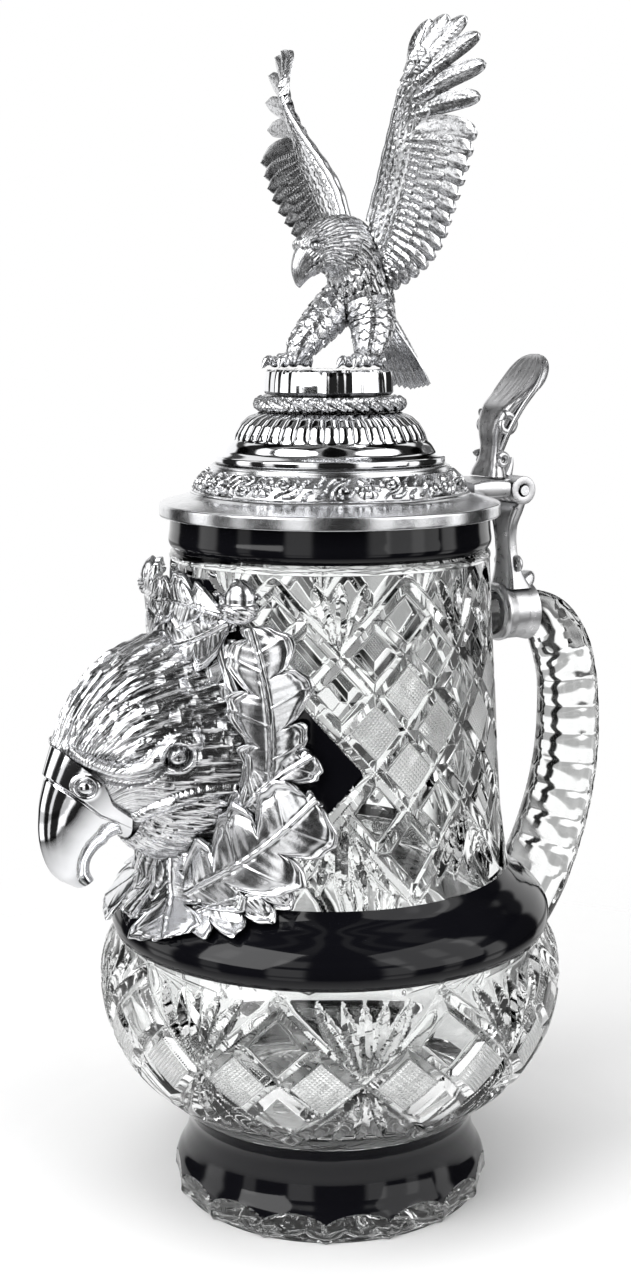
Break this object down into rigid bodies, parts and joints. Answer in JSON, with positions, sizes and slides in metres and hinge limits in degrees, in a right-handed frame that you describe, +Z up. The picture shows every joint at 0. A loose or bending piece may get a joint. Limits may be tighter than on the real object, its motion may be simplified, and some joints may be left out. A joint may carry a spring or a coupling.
{
  "type": "lidded beer stein",
  "caption": "Cut crystal beer stein with black glass bands, a pewter eagle-head badge in oak leaves, and a hinged pewter lid with a thumb lift and a spread-winged eagle.",
  "frame": {"origin": "middle of the foot's flat underside", "axes": "+Z up through the mouth, -Y towards the badge at the front, +Y towards the handle and the lid's hinge"},
  "size_m": [0.1356, 0.1818, 0.3295],
  "materials": {
    "crystal": "clear lead crystal, deep cut and polished, with fine frosted cross hatching",
    "black_glass": "glossy opaque black cased glass",
    "pewter": "cast pewter, antiqued dark in the recesses and rubbed bright on the high parts",
    "polished_pewter": "pewter polished to a mirror"
  },
  "bodies": {
    "stein": {"crystal_body": "crystal", "crystal_handle": "crystal", "black_foot_band": "black_glass", "black_shoulder_band": "black_glass", "black_collar_band": "black_glass", "black_front_panel": "black_glass", "badge_eagle_head": "polished_pewter", "oak_branch_left": "pewter", "oak_branch_right": "pewter", "handle_strap": "pewter", "hinge_pin": "polished_pewter"},
    "lid": {"lid_flange": "pewter", "lid_cap": "pewter", "lid_liner": "pewter", "leaf_ring": "pewter", "finial_plinth": "polished_pewter", "finial_washer": "polished_pewter", "finial_screw": "polished_pewter", "eagle_body": "pewter", "eagle_left_wing": "pewter", "eagle_right_wing": "pewter", "eagle_tail": "pewter", "lid_tang": "pewter", "thumb_lift": "pewter"}
  },
  "joints": [
    {"name": "lid_hinge", "type": "hinge", "parent": "stein", "child": "lid", "pos_m": [0, 0.0605, 0.2042], "axis": [-1, 0, 0], "range_deg": [0, 100]}
  ]
}
